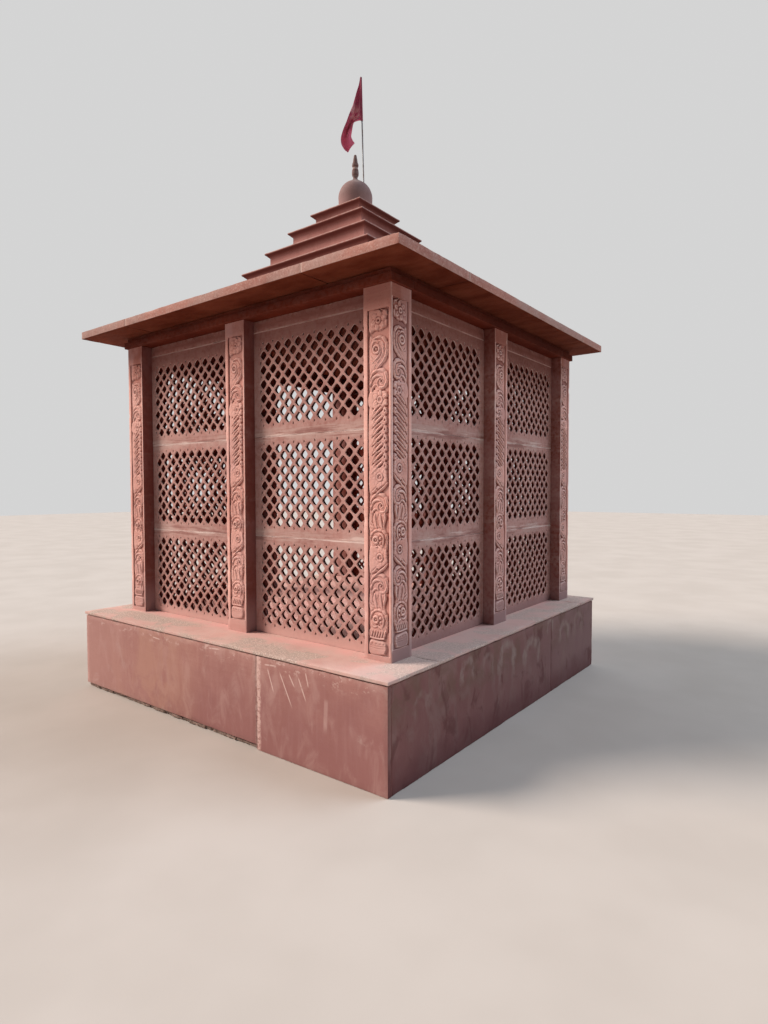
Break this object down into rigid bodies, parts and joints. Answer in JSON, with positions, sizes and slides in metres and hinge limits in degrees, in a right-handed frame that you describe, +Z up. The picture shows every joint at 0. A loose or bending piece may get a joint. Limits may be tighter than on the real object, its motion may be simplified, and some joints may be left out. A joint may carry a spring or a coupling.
{
  "type": "hindu temple",
  "caption": "Square sandstone shrine on a clad plinth, with pierced stone screens between carved pillars, a broad eave, stepped pyramid roof, dome, pot finial and pennant.",
  "frame": {"origin": "under the middle of the whole outline, at ground level", "axes": "+Z up, front face towards -Y, doorway in the -X side"},
  "size_m": [3.21, 3.158, 5.1868],
  "materials": {
    "footing_masonry": "rough",
    "plinth_stone": "honed, water stained",
    "coping_stone": "honed, dusty",
    "pillar_stone": "hand carved",
    "screen_stone": "sawn and pierced",
    "eave_stone": "rough dressed",
    "roof_stone": "dressed",
    "pole_steel": "dull",
    "pennant_cloth": "thin woven"
  },
  "bodies": {
    "root": {"plinth_core": "footing_masonry", "front_left_cladding": "plinth_stone", "front_right_cladding": "plinth_stone", "back_left_cladding": "plinth_stone", "back_right_cladding": "plinth_stone", "right_near_cladding": "plinth_stone", "right_far_cladding": "plinth_stone", "left_near_cladding": "plinth_stone", "left_far_cladding": "plinth_stone", "front_coping": "coping_stone", "back_coping": "coping_stone", "left_coping": "coping_stone", "right_coping": "coping_stone", "floor_slab": "coping_stone", "front_left_pillar": "pillar_stone", "front_right_pillar": "pillar_stone", "back_left_pillar": "pillar_stone", "back_right_pillar": "pillar_stone", "front_middle_pillar": "pillar_stone", "back_middle_pillar": "pillar_stone", "left_middle_pillar": "pillar_stone", "right_middle_pillar": "pillar_stone", "front_left_screen": "screen_stone", "front_right_screen": "screen_stone", "right_near_screen": "screen_stone", "right_far_screen": "screen_stone", "back_left_screen": "screen_stone", "back_right_screen": "screen_stone", "left_near_screen": "screen_stone", "door_lintel": "screen_stone", "front_beam": "eave_stone", "right_beam": "eave_stone", "back_beam": "eave_stone", "left_beam": "eave_stone", "front_left_eave": "eave_stone", "front_eave": "eave_stone", "front_right_eave": "eave_stone", "left_eave": "eave_stone", "right_eave": "eave_stone", "back_left_eave": "eave_stone", "back_eave": "eave_stone", "back_right_eave": "eave_stone", "roof_tier_1": "roof_stone", "roof_tier_2": "roof_stone", "roof_tier_3": "roof_stone", "roof_tier_4": "roof_stone", "roof_tier_5": "roof_stone", "roof_tier_6": "roof_stone", "dome": "roof_stone", "pot_finial": "roof_stone", "flagpole": "pole_steel", "pennant": "pennant_cloth"}
  },
  "joints": []
}
